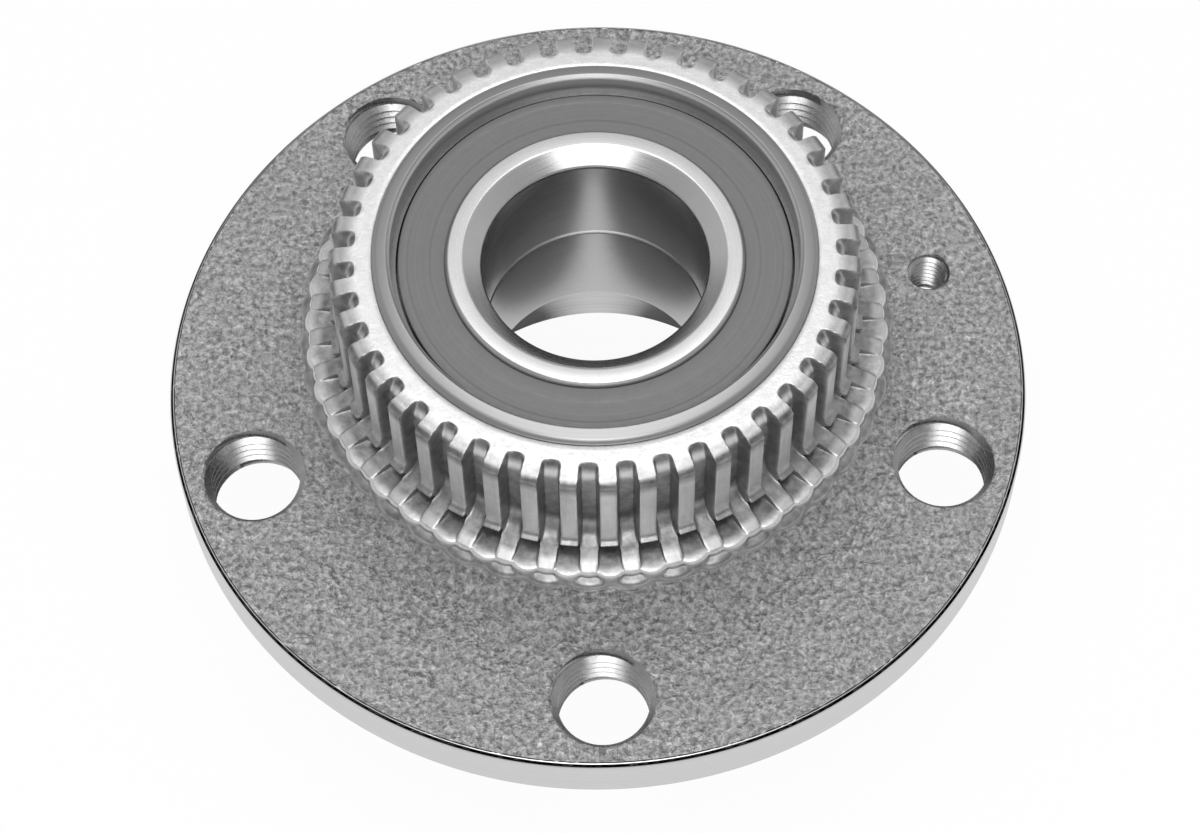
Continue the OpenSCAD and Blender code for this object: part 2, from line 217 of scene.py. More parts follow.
class Nodes:
    """Builds one material's node tree."""

    def __init__(self, name, base, metallic, roughness):
        self.material = bpy.data.materials.new(name)
        self.material.use_nodes = True
        self.tree = self.material.node_tree
        self.shader = self.tree.nodes["Principled BSDF"]
        self.set("Base Color", (*base, 1))
        self.set("Metallic", metallic)
        self.set("Roughness", roughness)

    def set(self, socket, value):
        self.shader.inputs[socket].default_value = value

    def link(self, start, end):
        self.tree.links.new(start, end)

    def add(self, kind, **settings):
        node = self.tree.nodes.new(kind)
        for key, value in settings.items():
            if key.startswith("in_"):
                node.inputs[key[3:].replace("_", " ").title()].default_value = value
            else:
                setattr(node, key, value)
        return node

    def position(self):
        return self.add("ShaderNodeTexCoord").outputs["Object"]

    def noise(self, size_mm, detail=4, roughness=0.55, where=None):
        scale = 1 / (size_mm * MM)
        node = self.add("ShaderNodeTexNoise", in_scale=scale, in_detail=detail, in_roughness=roughness)
        self.link(where or self.position(), node.inputs["Vector"])
        return node.outputs["Fac"]

    def spread(self, value, low, high, to_low, to_high):
        """Value moved from the range low to high to the range to_low to to_high."""
        node = self.add("ShaderNodeMapRange")
        self.link(value, node.inputs["Value"])
        for socket, number in zip(("From Min", "From Max", "To Min", "To Max"), (low, high, to_low, to_high)):
            node.inputs[socket].default_value = number
        return node.outputs["Result"]

    def math(self, operation, first, second):
        node = self.add("ShaderNodeMath", operation=operation)
        for socket, value in zip(node.inputs, (first, second)):
            if isinstance(value, (int, float)):
                socket.default_value = value
            else:
                self.link(value, socket)
        return node.outputs["Value"]

    def mix(self, factor, first, second):
        node = self.add("ShaderNodeMix", data_type="RGBA")
        for socket, value in zip((node.inputs[0], node.inputs[6], node.inputs[7]), (factor, first, second)):
            if isinstance(value, tuple):
                socket.default_value = (*value, 1)
            elif isinstance(value, (int, float)):
                socket.default_value = value
            else:
                self.link(value, socket)
        return node.outputs[2]

    def attribute(self, name):
        return self.add("ShaderNodeAttribute", attribute_name=name).outputs["Fac"]

    def bump(self, height, strength, depth_mm, below=None):
        node = self.add("ShaderNodeBump", in_strength=strength, in_distance=depth_mm * MM)
        self.link(height, node.inputs["Height"])
        if below is not None:
            self.link(below, node.inputs["Normal"])
        return node.outputs["Normal"]

    def lathe_lines(self, size_mm):
        """Noise in fine rings round the axis, as a cutting tool or grinding wheel leaves."""
        split = self.add("ShaderNodeSeparateXYZ")
        self.link(self.position(), split.inputs[0])
        sides = [self.math("POWER", split.outputs[axis], 2) for axis in "XY"]
        radius = self.math("POWER", self.math("ADD", *sides), 0.5)
        join = self.add("ShaderNodeCombineXYZ")
        self.link(radius, join.inputs["X"])
        self.link(split.outputs["Z"], join.inputs["Z"])
        return self.noise(size_mm, detail=3, where=join.outputs[0])

    def drawn_lines(self, size_mm):
        """Noise drawn out along the axis, as the press leaves on the sides of a tooth."""
        stretch = self.add("ShaderNodeVectorMath", operation="MULTIPLY")
        self.link(self.position(), stretch.inputs[0])
        stretch.inputs[1].default_value = (1, 1, 0.06)
        return self.noise(size_mm, detail=3, where=stretch.outputs["Vector"])

    def to(self, socket, output):
        self.link(output, self.shader.inputs[socket])


def grey(value):
    return (value, value, value)


def forged_steel():
    """Scaled forging, with bright turned faces where the turned attribute is 1."""
    m = Nodes("forged_steel", grey(0.42), 0.75, 0.42)
    turned = m.attribute("turned")
    grain = m.noise(0.8, detail=5, roughness=0.6)
    pits = m.noise(2.2, detail=4, roughness=0.55)
    scale = m.mix(m.spread(grain, 0.36, 0.64, 0, 1), grey(0.3), grey(0.85))
    scale = m.mix(m.spread(m.noise(9, detail=3), 0.35, 0.7, 0, 0.3), scale, grey(0.45))
    machined = m.mix(m.spread(m.lathe_lines(0.25), 0.35, 0.65, 0, 1), grey(0.56), grey(0.66))
    # Painted shade: the barrel's end above the tone ring and its rounding take a darker grey.
    machined = m.mix(m.attribute("barrel_end_shade"), machined, grey(0.33))
    m.to("Base Color", m.mix(turned, scale, machined))
    rough = m.spread(grain, 0.3, 0.7, 0.52, 0.38)
    smooth = m.spread(m.lathe_lines(0.12), 0.3, 0.7, 0.3, 0.4)
    forged = m.math("SUBTRACT", 1, turned)
    m.to("Roughness", m.math("ADD", m.math("MULTIPLY", rough, forged), m.math("MULTIPLY", smooth, turned)))
    m.to("Metallic", m.spread(turned, 0, 1, 0.7, 0.9))
    fine = m.bump(m.math("MULTIPLY", grain, forged), 1, 1.2)
    coarse = m.bump(m.math("MULTIPLY", pits, forged), 1, 1.8, fine)
    m.to("Normal", m.bump(m.lathe_lines(0.2), 0.15, 0.05, coarse))
    return m.material


def tapped_steel():
    m = Nodes("tapped_steel", grey(0.6), 0.95, 0.24)
    m.to("Base Color", m.mix(m.noise(1.2, detail=5), grey(0.28), grey(0.46)))
    m.to("Roughness", m.spread(m.noise(0.5), 0.3, 0.7, 0.18, 0.32))
    return m.material


def pressed_steel():
    """Bright sheet with drawn lines down the teeth, painted dark grey as shade in the valleys, pockets,
    flanks and on the lip, and as a dark reflection band on the tooth shoulders.
    """
    m = Nodes("pressed_steel", grey(0.7), 0.85, 0.34)
    # Painted shade: where this attribute is 1 the sheet takes the dark grey below instead of its bright grey.
    hollow = m.attribute("hollow")
    # Mottle shared by the bright grey and the painted shade.
    shade_and_mottle = m.noise(1.6, detail=5, roughness=0.6)
    drawn = m.drawn_lines(0.35)
    bright = m.mix(m.spread(shade_and_mottle, 0.3, 0.7, 0, 1), grey(0.64), grey(0.76))
    bright = m.mix(m.spread(drawn, 0.35, 0.65, 0, 0.5), bright, grey(0.58))
    shaded_grey = m.mix(m.spread(shade_and_mottle, 0.35, 0.65, 0, 1), grey(0.14), grey(0.3))
    m.to("Base Color", m.mix(hollow, bright, shaded_grey))
    m.to("Roughness", m.spread(m.noise(0.7, detail=4), 0.3, 0.7, 0.28, 0.42))
    m.to("Normal", m.bump(m.noise(0.9, detail=3), 0.3, 0.08, m.bump(drawn, 0.3, 0.06)))
    return m.material


def ground_steel():
    m = Nodes("ground_steel", grey(0.72), 1, 0.2)
    face = m.mix(m.noise(5, detail=4), grey(0.52), grey(0.6))
    # The bore takes a grey a little below the faces' greys: painted shade in the bore.
    m.to("Base Color", m.mix(m.attribute("bore"), face, grey(0.5)))
    m.to("Roughness", m.spread(m.lathe_lines(0.15), 0.3, 0.7, 0.18, 0.3))
    m.to("Normal", m.bump(m.lathe_lines(0.08), 0.12, 0.02))
    return m.material


def flinger_steel():
    m = Nodes("flinger_steel", grey(0.2), 0.3, 0.5)
    rings = m.lathe_lines(0.5)
    m.to("Base Color", m.mix(m.spread(rings, 0.3, 0.7, 0, 1), grey(0.16), grey(0.195)))
    m.to("Roughness", m.spread(m.noise(0.8), 0.3, 0.7, 0.45, 0.6))
    m.to("Normal", m.bump(m.noise(0.35, detail=2), 0.15, 0.03))
    return m.material


def ball_steel():
    m = Nodes("ball_steel", grey(0.78), 1, 0.06)
    m.to("Roughness", m.spread(m.noise(1.5), 0.3, 0.7, 0.04, 0.1))
    m.to("Base Color", m.mix(m.noise(3), grey(0.74), grey(0.82)))
    return m.material


def spring_steel():
    m = Nodes("spring_steel", (0.3, 0.32, 0.36), 0.9, 0.35)
    m.to("Base Color", m.mix(m.noise(2), (0.24, 0.27, 0.33), (0.36, 0.36, 0.36)))
    return m.material


def cage_plastic():
    m = Nodes("cage_plastic", (0.5, 0.42, 0.28), 0, 0.45)
    m.to("Base Color", m.mix(m.noise(1.5, detail=5), (0.44, 0.36, 0.23), (0.56, 0.48, 0.33)))
    m.to("Roughness", m.spread(m.noise(0.3), 0.3, 0.7, 0.38, 0.52))
    return m.material


def seal_steel():
    m = Nodes("seal_steel", grey(0.2), 0.7, 0.4)
    m.to("Base Color", m.mix(m.noise(0.6, detail=5), grey(0.15), grey(0.26)))
    return m.material


def seal_rubber():
    m = Nodes("seal_rubber", grey(0.03), 0, 0.55)
    m.to("Roughness", m.spread(m.noise(0.5), 0.3, 0.7, 0.5, 0.65))
    m.to("Base Color", m.mix(m.noise(1), grey(0.022), grey(0.04)))
    return m.material


materials = {
    "forged_steel": forged_steel(),
    "tapped_steel": tapped_steel(),
    "pressed_steel": pressed_steel(),
    "ground_steel": ground_steel(),
    "flinger_steel": flinger_steel(),
    "ball_steel": ball_steel(),
    "spring_steel": spring_steel(),
    "cage_plastic": cage_plastic(),
    "seal_steel": seal_steel(),
    "seal_rubber": seal_rubber(),
}

# The CAD nodes keep their shapes where they are hidden or plain, and take these materials
for part in frame["record"]["subparts"]:
    node = frame["nodes"][part["node"]]
    node.data.materials.clear()
    node.data.materials.append(materials[part["material_slot"]])
    sharpen(node.data, 30)

# Hub


def hub_outline():
    """Half section of the hub with its small roundings, closed and anticlockwise."""
    row_in = BEARING_Z + ROW_OFFSET
    row_out = BEARING_Z - ROW_OFFSET
    seat_top = TONE_TOP - SHEET
    dip = math.degrees(math.acos((RACE_BORE_R - BALL_PITCH_R) / RACEWAY_R))
    outline = [
        (RACE_BORE_R, CAP_SEAT_END, 0.1),
        (CAP_SEAT_R, CAP_SEAT_END, 0.1),
        (CAP_SEAT_R, SPIGOT_END + 0.5, 0.1),
        (CAP_SEAT_R + 0.5, SPIGOT_END, 0.1),
        (PILOT_R - 1, SPIGOT_END, 0.2),
        (PILOT_R, SPIGOT_END + 1, 0.2),
        (PILOT_R, -REGISTER_H, 0.3),
        (REGISTER_R - 0.5, -REGISTER_H, 0.1),
        (REGISTER_R, -REGISTER_H + 0.5, 0.1),
        (REGISTER_R, 0.5, 0.2),
        (REGISTER_R + 1.6, 0.5, 0.2),
        (REGISTER_R + 1.6, 0, 0.1),
        (FLANGE_R - RIM_CHAMFER, 0, 0.2),
        (FLANGE_R, RIM_CHAMFER, 0.2),
        (FLANGE_R, FLANGE_T - RIM_BREAK, 0.25),
        (FLANGE_R - RIM_BREAK, FLANGE_T, 0.3),
    ]
    centre = (BARREL_R + FOOT_FILLET, FLANGE_T + FOOT_FILLET)
    outline += arc(centre, FOOT_FILLET, 270, 180, 30)
    outline += [
        (BARREL_R, LIP_TOP - 3, 0.2),
        (RING_SEAT_R, LIP_TOP - 1.5, 0.1),
        (RING_SEAT_R, seat_top, 0),
        (RIM_R, seat_top, 0),
        (RIM_R, BARREL_END - 0.75, 0.35),
        (RIM_R - 0.45, BARREL_END - 0.25, 0.35),
        (SEAL_BORE_R + 0.5, BARREL_END, 0.12),
        (SEAL_BORE_R, BARREL_END - 0.5, 0.15),
        (SEAL_BORE_R, BEARING_Z + SEAL_SHOULDER_Z, 0.1),
        (RACE_BORE_R, BEARING_Z + SEAL_SHOULDER_Z, 0.1),
    ]
    outline += arc((BALL_PITCH_R, row_in), RACEWAY_R, dip, 0, 2)
    outline += arc((BALL_PITCH_R, row_in), RACEWAY_R, 0, -60, 10)
    outline += [(RIB_R, row_in - RACEWAY_R * 0.85, 0.1), (RIB_R, row_out + RACEWAY_R * 0.85, 0.1)]
    outline += arc((BALL_PITCH_R, row_out), RACEWAY_R, 60, 0, 10)
    outline += arc((BALL_PITCH_R, row_out), RACEWAY_R, 0, -dip, 2)
    return rounded(outline)


def forge(mesh):
    """Roughens the forged faces, and marks in attributes the turned faces and the end of the barrel, which
    takes a painted shade.
    """
    places = coordinates(mesh)
    radius = np.hypot(places[:, 0], places[:, 1])
    forged = (places[:, 2] > FLANGE_T - 0.02) & (places[:, 2] < LIP_TOP - 2) & (radius > BARREL_R - 0.1)
    turned = np.where(forged | (radius > FLANGE_R - 0.45) & (places[:, 2] > FLANGE_T - 0.3), 0.0, 1.0)
    away = (BARREL_R + FOOT_FILLET, FLANGE_T + FOOT_FILLET)
    for i in np.nonzero(forged)[0]:
        spot = Vector(places[i])
        depth = GRAIN_DEPTH * noise.fractal(spot / GRAIN_SIZE, 1.0, 2.1, 3)
        depth += WAVE_DEPTH * noise.noise(spot / WAVE_SIZE)
        if radius[i] > away[0]:
            normal = Vector((0, 0, 1))
        else:
            tilt = Vector((away[0] - radius[i], away[1] - places[i, 2])).normalized()
            normal = Vector((places[i, 0] / radius[i] * tilt.x, places[i, 1] / radius[i] * tilt.x, tilt.y))
        fade = min(1, max(0, (FLANGE_R - RIM_BREAK / 2 - radius[i]) / 1.2))
        mesh.vertices[i].co += normal * depth * fade * MM
    float_attribute(mesh, "turned", turned)
    # Marks the barrel's end above the tone ring, where a darker grey is painted as shade.
    float_attribute(mesh, "barrel_end_shade", (places[:, 2] > TONE_TOP) & (radius > SEAL_BORE_R + 0.3))


def hole_cutter(name, radius, chamfers, angle):
    """Tool that cuts a hole with a chamfer at the vehicle side and one at the wheel side."""
    inner_chamfer, outer_chamfer = chamfers
    past = 3
    outline = np.array([
        (0.001, -past),
        (radius + outer_chamfer + past, -past),
        (radius, outer_chamfer),
        (radius, FLANGE_T - inner_chamfer),
        (radius + inner_chamfer + past, FLANGE_T + past),
        (0.001, FLANGE_T + past),
    ])
    turn = math.radians(angle)
    centre = (BOLT_CIRCLE_R * math.cos(turn), BOLT_CIRCLE_R * math.sin(turn))
    return revolve(name, outline, 96, centre=centre)


def cut(piece, cutters):
    for cutter in cutters:
        step = piece.modifiers.new("cut", "BOOLEAN")
        step.solver = "MANIFOLD"
        step.operation = "DIFFERENCE"
        step.object = cutter
    depsgraph = bpy.context.evaluated_depsgraph_get()
    mesh = bpy.data.meshes.new_from_object(piece.evaluated_get(depsgraph))
    piece.modifiers.clear()
    piece.data = mesh
    for cutter in cutters:
        bpy.data.objects.remove(cutter)


bolt_angles = [BOLT_ANGLE + i * 360 / BOLT_COUNT for i in range(BOLT_COUNT)]
hub = revolve("hub_forging", cut_up(hub_outline(), 0.55), 720)
forge(hub.data)
cutters = [hole_cutter(f"cutter_{i}", BOLT_R, BOLT_CHAMFERS, angle) for i, angle in enumerate(bolt_angles)]
cutters.append(hole_cutter("cutter_screw", SCREW_R, SCREW_CHAMFERS, SCREW_ANGLE))
cut(hub, cutters)
sharpen(hub.data, 32)
hub.data.materials.clear()
hub.data.materials.append(materials["forged_steel"])
stands_for(hub, "hub", "forged_steel", "hub")


def thread(name, root_r, pitch, angle):
    """Helical ridge of a tapped hole, closed, with its root in the hole's wall and its ends run out."""
    steps_round = 48
    run_out_steps = steps_round * 0.4
    height = 0.54 * pitch
    low = 0.9
    high = FLANGE_T - 0.4
    turns = (high - low) / pitch
    count = int(turns * steps_round)
    places = []
    for k in range(count + 1):
        turn = 2 * math.pi * k / steps_round
        z = low + pitch * k / steps_round
        ends = min(1, k / run_out_steps, (count - k) / run_out_steps)
        crest = root_r - height * ends
        root = root_r + 0.1
        section = [(root, -0.47), (crest, -0.07), (crest, 0.07), (root, 0.47)]
        places.append([(r * math.cos(turn), r * math.sin(turn), z + side * pitch) for r, side in section])
    points = np.array(places)
    ridge = grid_mesh(name, points.transpose(1, 0, 2), 50, wrap_columns=False)
    corners = len(places[0])
    ring = count + 1
    caps = [[ring * c for c in range(corners)], [ring * c + count for c in reversed(range(corners))]]
    vertices = [tuple(v.co) for v in ridge.data.vertices]
    faces = [tuple(f.vertices) for f in ridge.data.polygons] + caps
    ridge.data.clear_geometry()
    ridge.data.from_pydata(vertices, [], faces)
    sharpen(ridge.data, 50)
    turn = math.radians(angle)
    ridge.data.transform(Matrix.Translation(
        Vector((BOLT_CIRCLE_R * math.cos(turn), BOLT_CIRCLE_R * math.sin(turn), 0)) * MM))
    ridge.data.materials.append(materials["tapped_steel"])
    stands_for(ridge, "hub", "forged_steel")


for i, angle in enumerate(bolt_angles):
    thread(f"bolt_thread_{i + 1}", BOLT_R, BOLT_PITCH, angle)
thread("screw_thread", SCREW_R, SCREW_PITCH, SCREW_ANGLE)

# Tone ring

PITCH = 2 * math.pi / TOOTH_COUNT
REFERENCE_R = 34
# Painted shade on the tooth flanks, from 0 to 1.
FLANK_SHADE = 0.75
FLANK_BLEND = 0.55
ARCH_HALF = 1.05
ARCH_CORNER = 1
VALLEY_HALF = 1.27
CROWN = 0.28
WEB_CURVE = 3.4
FLARE_R = 36.1
FLARE_Z = 26.5
VALLEY_TOP = TONE_TOP - 2.6
VALLEY_DROP = 1.1
VALLEY_LOW = LIP_TOP + 0.8 + WEB_CURVE
TOOTH_LOW = 27.4
# Offsets from a valley's middle, on the reference radius, closer together over the flank of the tooth
FLANK_STEPS = (0, 0.38, 0.68, 0.9, 1.04, 1.14, 1.22, 1.29, 1.36, 1.44, 1.54, 1.7, 2.0)
TOOTH_MIDDLE = 2.485
# Painted shade on the rows down the lip's step, under its upper edge.
LIP_SHADES = (0, 0, 0.3, 0.6, 0.85, 0.9, 0.9, 0.85, 0.7)


def ease(t):
    t = np.clip(t, 0, 1)
    return t * t * (3 - 2 * t)


def tone_rows():
    """Rows of the ring's outer side from the top's inner edge to the lip: where a tooth is, where a valley
    is, half the valley's width, and how much shade is painted on the tooth and in the valley."""
    rows = []
    for r, z in [(RIM_R, TONE_TOP - 0.2), (RIM_R + 0.06, TONE_TOP - 0.06), (RIM_R + 0.2, TONE_TOP)]:
        rows.append(((r, z), (r, z), 0, 0, 0))
    for r in np.linspace(RIM_R + 0.8, ARCH_R, 4):
        rows.append(((r, TONE_TOP), (r, TONE_TOP), 0, 0, 0))
    flat_end = TOOTH_R - TOOTH_SHOULDER
    for t in (0.02, 0.07, 0.14, 0.22, 0.31, 0.4, 0.5, 0.6, 0.7, 0.8, 0.9, 1):
        out = t * (flat_end - ARCH_R)
        side = min(out, ARCH_CORNER)
        half = ARCH_HALF - ARCH_CORNER + math.sqrt(ARCH_CORNER**2 - (ARCH_CORNER - side) ** 2)
        fall = t**1.15
        floor_r = ARCH_R + (VALLEY_R - ARCH_R) * math.sin(t * math.pi / 2)
        floor = (floor_r, TONE_TOP + (VALLEY_TOP - TONE_TOP) * fall)
        # Painted shade at the valley's top, lighter further out.
        dark_end = 1 if t < 0.3 else max(0.15, 1 - 3 * (t - 0.3))
        rows.append(((ARCH_R + out, TONE_TOP - CROWN * t * t), floor, half, 0.4 * t, dark_end))
    for t in np.linspace(0, 1, 8)[1:]:
        turn = t * math.pi / 2
        fall = CROWN + (TOOTH_SHOULDER - CROWN) * (1 - math.cos(turn))
        tooth = (flat_end + TOOTH_SHOULDER * math.sin(turn), TONE_TOP - fall)
        half = ARCH_HALF + (VALLEY_HALF - ARCH_HALF) * t
        # A dark band painted on the tooth's shoulder stands in for a dark reflection; the valley's painted
        # shade deepens downwards.
        shade_and_mottle = 0.4 if t < 0.4 else 1
        rows.append((tooth, (VALLEY_R, VALLEY_TOP - VALLEY_DROP * t), half, shade_and_mottle, 0.4 + 0.4 * t))
    tooth_start = TONE_TOP - TOOTH_SHOULDER
    valley_start = VALLEY_TOP - VALLEY_DROP
    # Tooth faces carry no painted shade; the valleys beside them carry a deep one.
    for t in np.linspace(0, 1, 8)[1:]:
        tooth = (TOOTH_R, tooth_start + (TOOTH_LOW - tooth_start) * t)
        valley = (VALLEY_R, valley_start + (VALLEY_LOW - valley_start) * t)
        rows.append((tooth, valley, VALLEY_HALF, 0, 0.8 + 0.2 * t))
    web = [point[:2] for point in arc((VALLEY_R + WEB_CURVE, VALLEY_LOW), WEB_CURVE, 180, 270, 9)[1:]]
    web += [(37.1, 25.3), (37.9, 25.05), (38.5, 24.85), (38.9, LIP_TOP + 0.04)]
    # Out over the flare, back in under it to the pocket, and out again on the lip
    foot = [(35.3, 27.05), (35.5, 26.75), (35.78, 26.56)]
    foot += [(FLARE_R - 0.08, FLARE_Z), (FLARE_R, FLARE_Z - 0.08), (FLARE_R - 0.02, FLARE_Z - 0.28)]
    foot += [(35.6, 26.18), (34.6, 26.1), (33.95, 25.75), (33.8, 25.3), (34.1, 24.9)]
    foot += [(35, LIP_TOP + 0.03), (36.8, LIP_TOP)]
    for k, (tooth, valley) in enumerate(zip(foot, web)):
        # Painted shade in the pocket under each tooth and on the web beside it, lighter at the web's outer
        # end.
        under = 1 if k > 5 else 0.8
        rows.append((tooth, valley, VALLEY_HALF, under, 0.92 if k < 10 else 0.3))
    return rows


def scallop(turn, reach, shift, circle_r):
    """Radius of an edge made of one circle to each pitch, moved along it by a share of the pitch."""
    offset = (turn / PITCH + shift) % 1 - 0.5
    angle = offset * PITCH
    middle = reach - circle_r
    return middle * np.cos(angle) + np.sqrt(np.maximum(0, circle_r**2 - (middle * np.sin(angle)) ** 2))


def tone_ring():
    """Pressed ring whose rows run from tooth to valley and back, with its painted shade in an attribute."""
    widths = np.array(FLANK_STEPS + (TOOTH_MIDDLE,))
    offsets = np.concatenate([-widths[:0:-1], widths[:-1]])
    one = offsets / REFERENCE_R
    turns = np.concatenate([one + (k + 0.5) * PITCH for k in range(TOOTH_COUNT)])
    from_valley = np.tile(offsets, TOOTH_COUNT)
    rings = []
    hollows = []
    for tooth, valley, half, tooth_shade, valley_shade in tone_rows():
        scale = tooth[0] / REFERENCE_R
        share = ease((np.abs(from_valley) * scale - half) / FLANK_BLEND + 0.5)
        if half == 0:
            share = np.ones_like(turns)
        r = valley[0] + (tooth[0] - valley[0]) * share
        z = valley[1] + (tooth[1] - valley[1]) * share
        rings.append((r, z))
        on_tooth = ease(5 * share - 4)
        in_valley = ease(1 - 5 * share)
        # Each point takes the painted shade of the flank, the tooth or the valley it lies on.
        flank_shade = FLANK_SHADE if half else 0
        shade_and_mottle = flank_shade + (tooth_shade - flank_shade) * on_tooth
        hollows.append(shade_and_mottle + (valley_shade - flank_shade) * in_valley)
    upper = np.maximum(scallop(turns, LIP_R - 0.9, 0.5, 3), scallop(turns, LIP_R - 1.35, 0, 2.6))
    lower = np.maximum(scallop(turns, LIP_R, 0, 5), LIP_R - 0.55)
    top = rings[-1]
    # Painted shade on the two rows out from the foot to the lip's upper edge.
    for t, shade_and_mottle in ((0.5, 0.9), (1, 0.4)):
        reach = top[0] + (np.maximum(upper - 0.55, top[0] + 0.1) - top[0]) * t
        rings.append((reach, top[1] + (LIP_TOP - top[1]) * t))
        hollows.append(shade_and_mottle * np.ones_like(turns))
    flat = np.ones_like(turns)
    # Painted shade down the lip's step under its upper edge.
    hollows += [shade_and_mottle * flat for shade_and_mottle in LIP_SHADES]
    rings += [
        (upper - 0.26, (LIP_TOP - 0.06) * flat),
        (upper - 0.09, (LIP_TOP - 0.2) * flat),
        (upper, (LIP_TOP - 0.44) * flat),
        (upper + 0.04, (LIP_TOP - 0.75) * flat),
        (upper + 0.12, (LIP_TOP - 0.98) * flat),
        (np.maximum(upper + 0.16, lower - 0.75), (LIP_TOP - 1.12) * flat),
        (np.maximum(upper + 0.18, lower - 0.38), (LIP_TOP - 1.32) * flat),
        (np.maximum(upper + 0.2, lower - 0.12), (LIP_TOP - 1.6) * flat),
        (np.maximum(upper + 0.2, lower), (LIP_TOP - 2) * flat),
        (np.maximum(upper + 0.2, lower), (LIP_END + 0.25) * flat),
        (np.maximum(upper + 0.18, lower - 0.06), (LIP_END + 0.06) * flat),
        (lower - 0.25, LIP_END * flat),
        (lower - 1.4, LIP_END * flat),
        (37.6 * flat, (LIP_END + 1.1) * flat),
        (BARREL_R * flat, (LIP_END + 1.1) * flat),
        (RING_SEAT_R * flat, (LIP_TOP + SHEET) * flat),
        (RING_SEAT_R * flat, (TONE_TOP - SHEET) * flat),
        (RIM_R * flat, (TONE_TOP - SHEET) * flat),
    ]
    first = math.radians(TOOTH_ANGLE)
    points = np.stack([
        np.stack([r * np.cos(first + turns), r * np.sin(first + turns), z], axis=-1) for r, z in rings
    ])
    ring = grid_mesh("tone_ring_pressing", points, 40)
    hollows += [0 * flat] * (len(rings) - len(hollows))
    float_attribute(ring.data, "hollow", np.concatenate(hollows))
    ring.data.materials.append(materials["pressed_steel"])
    stands_for(ring, "hub", "pressed_steel", "tone_ring")


tone_ring()

# Inner rings and flingers


def race_outline(side):
    """Half section of an inner ring in its own height above the middle plane, as anticlockwise for side 1."""
    raceway_bottom = BALL_PITCH_R - RACEWAY_R
    land = raceway_bottom + 0.35
    width = RING_FACE - BEARING_Z
    dip = math.degrees(math.acos((BALL_PITCH_R - land) / RACEWAY_R))
    rise = math.degrees(math.acos((BALL_PITCH_R - SHOULDER_R) / RACEWAY_R))
    corners = [
        (BORE_R + 0.4, 0, 0.08),
        (land, 0, 0.1),
    ]
    corners += arc((BALL_PITCH_R, ROW_OFFSET), RACEWAY_R, 180 + dip, 180 - rise, 14)
    corners += [
        (SHOULDER_R, width - 0.4, 0.12),
        (SHOULDER_R - 0.4, width, 0.12),
        (BORE_R + 2.45, width, 0.25),
        (BORE_R, width - 1.9, 0.4),
        (BORE_R, 0.4, 0.08),
    ]
    outline = rounded(corners)
    outline[:, 1] = BEARING_Z + side * outline[:, 1]
    return outline[::side]


def flinger_outline(side, reach):
    """Half section of a flinger, an angle ring whose disc has two shallow pressed steps."""
    sheet = 0.6
    foot = SEAL_SHOULDER_Z
    face = FLINGER_FACE - BEARING_Z
    corners = [
        (SHOULDER_R, foot, 0.1),
        (SHOULDER_R + sheet, foot, 0.1),
        (SHOULDER_R + sheet, face - sheet, 0.15),
        (reach, face - sheet, 0.1),
        (reach, face, 0.2),
        (reach - 1.1, face, 0.15),
        (reach - 1.3, face - 0.07, 0.15),
        (SHOULDER_R + 2.2, face - 0.07, 0.15),
        (SHOULDER_R + 1.9, face, 0.15),
        (SHOULDER_R, face, 0.25),
    ]
    outline = rounded(corners)
    outline[:, 1] = BEARING_Z + side * outline[:, 1]
    return outline[::side]


def turned_piece(name, outline, segments, slot, node):
    """Turned piece of the inner race, with its bore marked in an attribute."""
    piece = revolve(name, outline, segments)
    places = coordinates(piece.data)
    radius = np.hypot(places[:, 0], places[:, 1])
    float_attribute(piece.data, "bore", radius < BORE_R + 0.3)
    piece.data.materials.append(materials[slot])
    stands_for(piece, "inner_race", slot, node)


turned_piece("inner_race_inboard", race_outline(1), 288, "ground_steel", "inner_ring_inboard")
turned_piece("inner_race_outboard", race_outline(-1), 288, "ground_steel", "inner_ring_outboard")
turned_piece("flinger_disc_inboard", flinger_outline(1, FLINGER_R), 240, "flinger_steel", "flinger_inboard")
turned_piece("flinger_disc_outboard", flinger_outline(-1, OUTER_FLINGER_R), 240, "flinger_steel",
             "flinger_outboard")

# Floor, light and camera


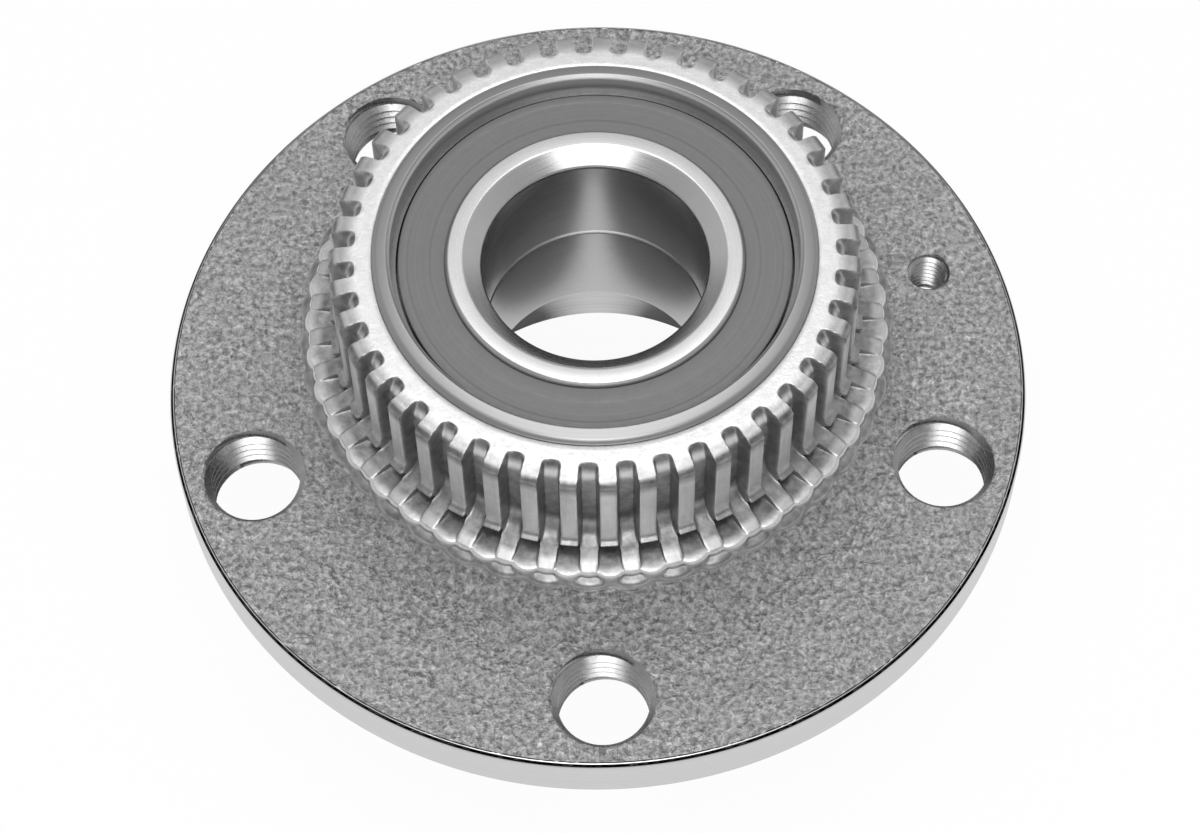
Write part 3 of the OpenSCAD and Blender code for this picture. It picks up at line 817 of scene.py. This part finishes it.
def make_floor():
    """Pale floor at the spigot's end. It looks white, and keeps a light shadow under the part. Reflections
    see its white fade out towards the spigot, except on a glowing strip down the middle: a painted reflection
    that puts a bright streak on the bore's walls."""
    size = 3.0
    corners = [(x * size, y * size, SPIGOT_END * MM) for x, y in ((-1, -1), (1, -1), (1, 1), (-1, 1))]
    mesh = bpy.data.meshes.new("floor")
    mesh.from_pydata(corners, [], [(0, 1, 2, 3)])
    floor = bpy.data.objects.new("floor", mesh)
    bpy.context.scene.collection.objects.link(floor)
    m = Nodes("floor", grey(0.86), 0, 0.8)
    path = m.add("ShaderNodeLightPath")
    split = m.add("ShaderNodeSeparateXYZ")
    m.link(m.position(), split.inputs[0])
    across = m.math("POWER", split.outputs["X"], 2)
    along = m.math("POWER", split.outputs["Y"], 2)
    full_r = 1.22 * FLANGE_R
    strip_half = 7
    outside = m.spread(m.math("ADD", across, along), (PILOT_R * MM) ** 2, (full_r * MM) ** 2, 0, 1)
    # Painted reflection: along this strip the floor glows white for reflections only, making the bright
    # streak in the bore.
    strip = m.spread(across, 0, (strip_half * MM) ** 2, 1, 0.03)
    mirrored = m.math("MULTIPLY", path.outputs["Is Glossy Ray"], m.math("MAXIMUM", outside, strip))
    seen = m.math("MAXIMUM", path.outputs["Is Camera Ray"], mirrored)
    seen = m.math("MAXIMUM", seen, path.outputs["Is Transmission Ray"])
    white = m.add("ShaderNodeEmission")
    white.inputs["Color"].default_value = (1, 1, 1, 1)
    share = m.math("MULTIPLY", seen, 0.95)
    both = m.add("ShaderNodeMixShader")
    m.link(share, both.inputs[0])
    m.link(m.shader.outputs[0], both.inputs[1])
    m.link(white.outputs[0], both.inputs[2])
    m.link(both.outputs[0], m.tree.nodes["Material Output"].inputs["Surface"])
    mesh.materials.append(m.material)


def make_world():
    """Soft studio: bright above and behind the part, dimmer low down, to the sides and in front."""
    world = bpy.data.worlds.new("studio")
    bpy.context.scene.world = world
    world.use_nodes = True
    nodes = world.node_tree.nodes
    links = world.node_tree.links
    direction = nodes.new("ShaderNodeTexCoord").outputs["Generated"]
    split = nodes.new("ShaderNodeSeparateXYZ")
    links.new(direction, split.inputs[0])
    sideways = nodes.new("ShaderNodeMath")
    sideways.operation = "ABSOLUTE"
    links.new(split.outputs["X"], sideways.inputs[0])
    parts = []
    for value, start, end, low, high in (
            (split.outputs["Y"], -0.9, 0.3, 0.55, 1.05),
            (split.outputs["Y"], 0.56, 0.78, 1, 0.5),
            (sideways.outputs[0], 0.15, 0.5, 1, 0.66)):
        ramp = nodes.new("ShaderNodeMapRange")
        for socket, number in zip(("From Min", "From Max", "To Min", "To Max"), (start, end, low, high)):
            ramp.inputs[socket].default_value = number
        links.new(value, ramp.inputs["Value"])
        parts.append(ramp.outputs["Result"])
    strength = parts[0]
    for part in parts[1:]:
        product = nodes.new("ShaderNodeMath")
        product.operation = "MULTIPLY"
        links.new(strength, product.inputs[0])
        links.new(part, product.inputs[1])
        strength = product.outputs[0]
    links.new(strength, nodes["Background"].inputs["Strength"])
    nodes["Background"].inputs["Color"].default_value = (1, 1, 1, 1)


def make_lamp(name, place, size, power, target=None):
    lamp = bpy.data.lights.new(name, "AREA")
    lamp.shape = "RECTANGLE"
    lamp.size, lamp.size_y = size
    lamp.energy = power
    holder = bpy.data.objects.new(name, lamp)
    bpy.context.scene.collection.objects.link(holder)
    where = Vector(place) * MM
    holder.location = where
    if target is not None:
        holder.rotation_euler = (Vector(target) * MM - where).to_track_quat("-Z", "Y").to_euler()


def make_camera():
    """Camera fitted to the ellipses of the flange, bearing and holes in the photograph."""
    focal_px = 3182.8
    photo_width = 1200
    sensor = 36
    elevation = math.radians(60.675)
    roll = math.radians(-1.128)
    place = Vector((0.24, -224.2, 395.8)) * MM
    forward = Vector((0, math.cos(elevation), -math.sin(elevation)))
    level = Vector((1, 0, 0))
    above = level.cross(forward)
    right = level * math.cos(roll) + above * math.sin(roll)
    up = above * math.cos(roll) - level * math.sin(roll)
    data = bpy.data.cameras.new("camera")
    data.sensor_width = sensor
    data.sensor_fit = "HORIZONTAL"
    data.lens = focal_px * sensor / photo_width
    data.clip_start = 0.01
    camera = bpy.data.objects.new("camera", data)
    bpy.context.scene.collection.objects.link(camera)
    turn = Matrix((right, up, -forward)).transposed().to_4x4()
    camera.matrix_world = Matrix.Translation(place) @ turn
    bpy.context.scene.camera = camera


make_floor()
make_world()
make_lamp("softbox", (-10, -230, 640), (0.34, 1.05), 2)
make_lamp("front", (0, -470, 600), (0.6, 0.3), 1, target=(0, 0, 10))
make_camera()
bpy.context.scene.view_settings.view_transform = "Standard"
